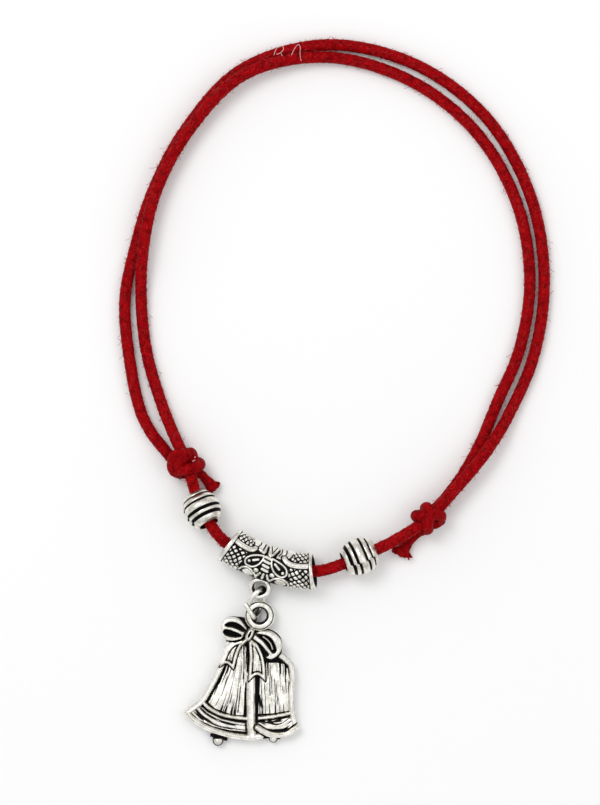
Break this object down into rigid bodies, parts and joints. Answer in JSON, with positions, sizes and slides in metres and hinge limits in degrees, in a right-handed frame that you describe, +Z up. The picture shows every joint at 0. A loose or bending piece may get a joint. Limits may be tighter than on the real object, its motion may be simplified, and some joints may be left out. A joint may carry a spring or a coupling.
{
  "type": "adjustable cord anklet with bell charm",
  "caption": "Adjustable cord anklet: a doubled cord held by sliding knots, ringed spacer beads, an ornamented curved tube bail and a cast bell charm with a bow on a jump ring.",
  "frame": {"origin": "middle of the charm's flat back, on the surface that the anklet lies on", "axes": "+Z up from the surface, +Y from the charm towards the cord's loop, +X to the right as seen from above"},
  "size_m": [0.0662, 0.1088, 0.006],
  "materials": {
    "waxed_cord": "waxed, slightly glossy red",
    "antique_silver": "antiqued silver, dark in its recesses"
  },
  "bodies": {
    "root": {"cord": "waxed_cord", "knot_left": "waxed_cord", "knot_right": "waxed_cord", "bead_left": "antique_silver", "bead_right": "antique_silver", "bail": "antique_silver", "jump_ring": "antique_silver", "charm": "antique_silver"}
  },
  "joints": []
}
